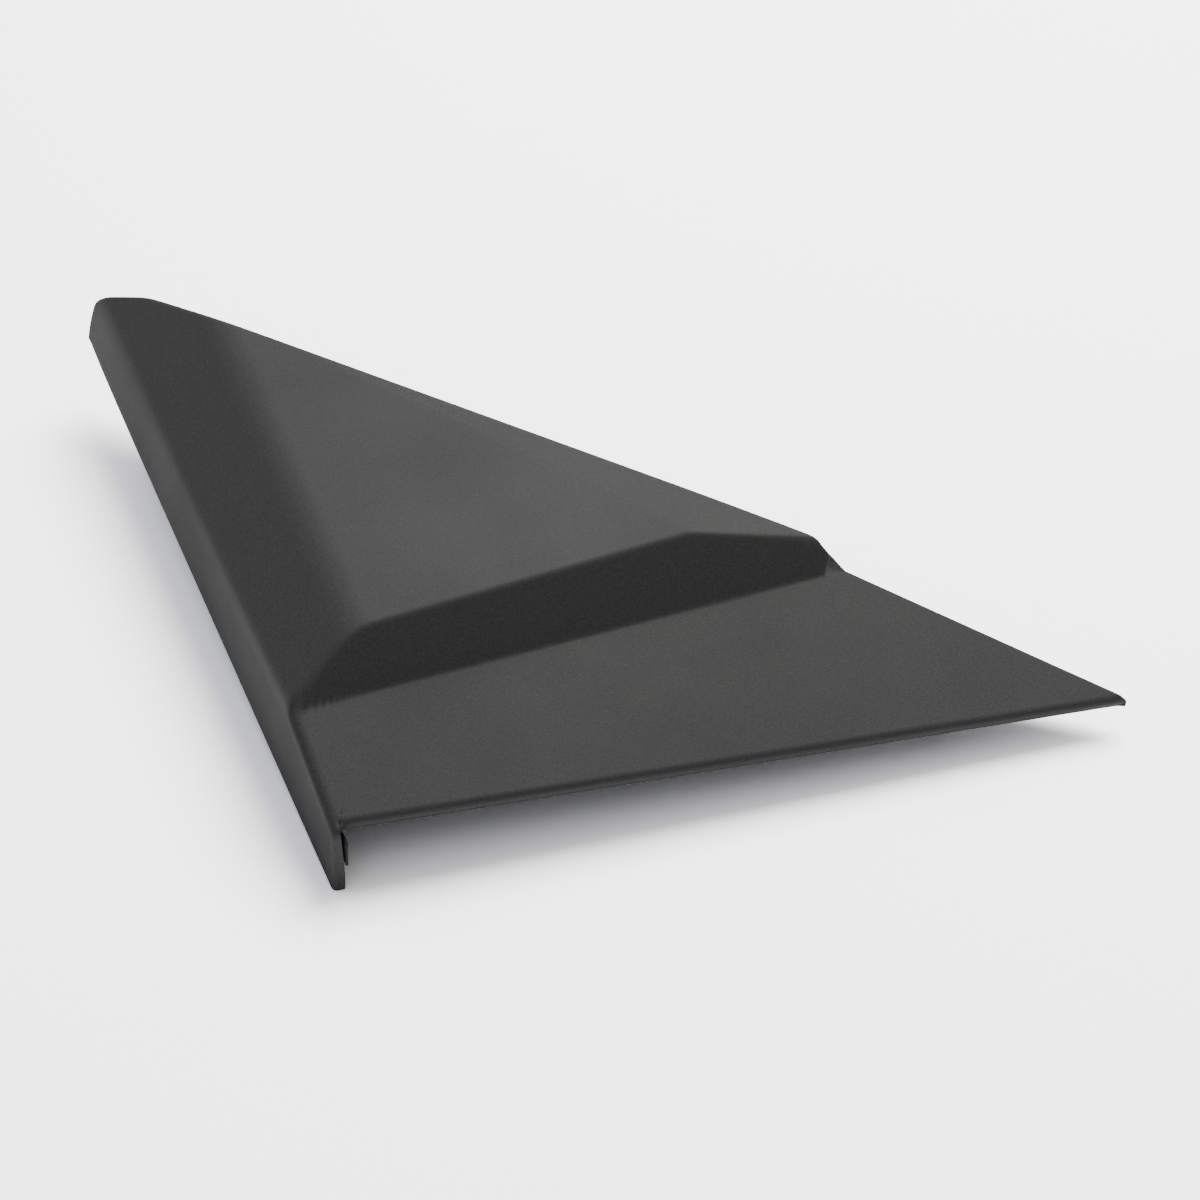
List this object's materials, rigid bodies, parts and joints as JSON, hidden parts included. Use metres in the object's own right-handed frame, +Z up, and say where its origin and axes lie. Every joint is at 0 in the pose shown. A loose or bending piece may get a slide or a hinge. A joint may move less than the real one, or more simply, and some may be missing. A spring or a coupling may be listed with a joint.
{
  "type": "exterior corner trim cover",
  "caption": "Wedge-shaped moulded corner trim cover with a raised faceted body, a sloping front lip, a side wall, and push-in clips, seals and locating pins underneath.",
  "frame": {"origin": "middle of the bounding box in plan, on the surface that the cover lies on, which its wall corner and two locating pins touch", "axes": "+Z up out of the visible face, +X along the front edge towards the tip, +Y from the front edge towards the apex"},
  "size_m": [0.226, 0.1936, 0.0503],
  "materials": {
    "shell_plastic": "dark grey fine-grained moulded plastic",
    "carrier_plastic": "black ungrained moulded plastic",
    "clip_nylon": "natural nylon, semi-gloss",
    "washer_foam": "closed-cell foam rubber",
    "seal_foam": "closed-cell foam rubber",
    "tape_foam": "thin foam adhesive tape",
    "felt": "pressed felt",
    "spring_steel": "phosphated spring steel"
  },
  "bodies": {
    "cover": {"cover_shell": "shell_plastic", "inner_carrier": "carrier_plastic", "rear_seal": "seal_foam", "lip_seal": "seal_foam", "side_tape": "tape_foam", "felt_pad_1": "felt", "felt_pad_2": "felt", "felt_pad_3": "felt", "spring_clip_1": "spring_steel", "spring_clip_2": "spring_steel"},
    "fastener_1": {"clip_1": "clip_nylon", "washer_1": "washer_foam"},
    "fastener_2": {"clip_2": "clip_nylon", "washer_2": "washer_foam"},
    "fastener_3": {"clip_3": "clip_nylon", "washer_3": "washer_foam"},
    "fastener_4": {"clip_4": "clip_nylon", "washer_4": "washer_foam"}
  },
  "joints": [
    {"name": "fastener_slide_1", "type": "slide", "parent": "cover", "child": "fastener_1", "axis": [1, 0, 0], "range_m": [-0.001, 0.009]},
    {"name": "fastener_slide_2", "type": "slide", "parent": "cover", "child": "fastener_2", "axis": [0, 1, 0], "range_m": [-0.001, 0.009]},
    {"name": "fastener_slide_3", "type": "slide", "parent": "cover", "child": "fastener_3", "axis": [-1, 0, 0], "range_m": [-0.001, 0.009]},
    {"name": "fastener_slide_4", "type": "slide", "parent": "cover", "child": "fastener_4", "axis": [-1, 0, 0], "range_m": [-0.001, 0.009]}
  ]
}
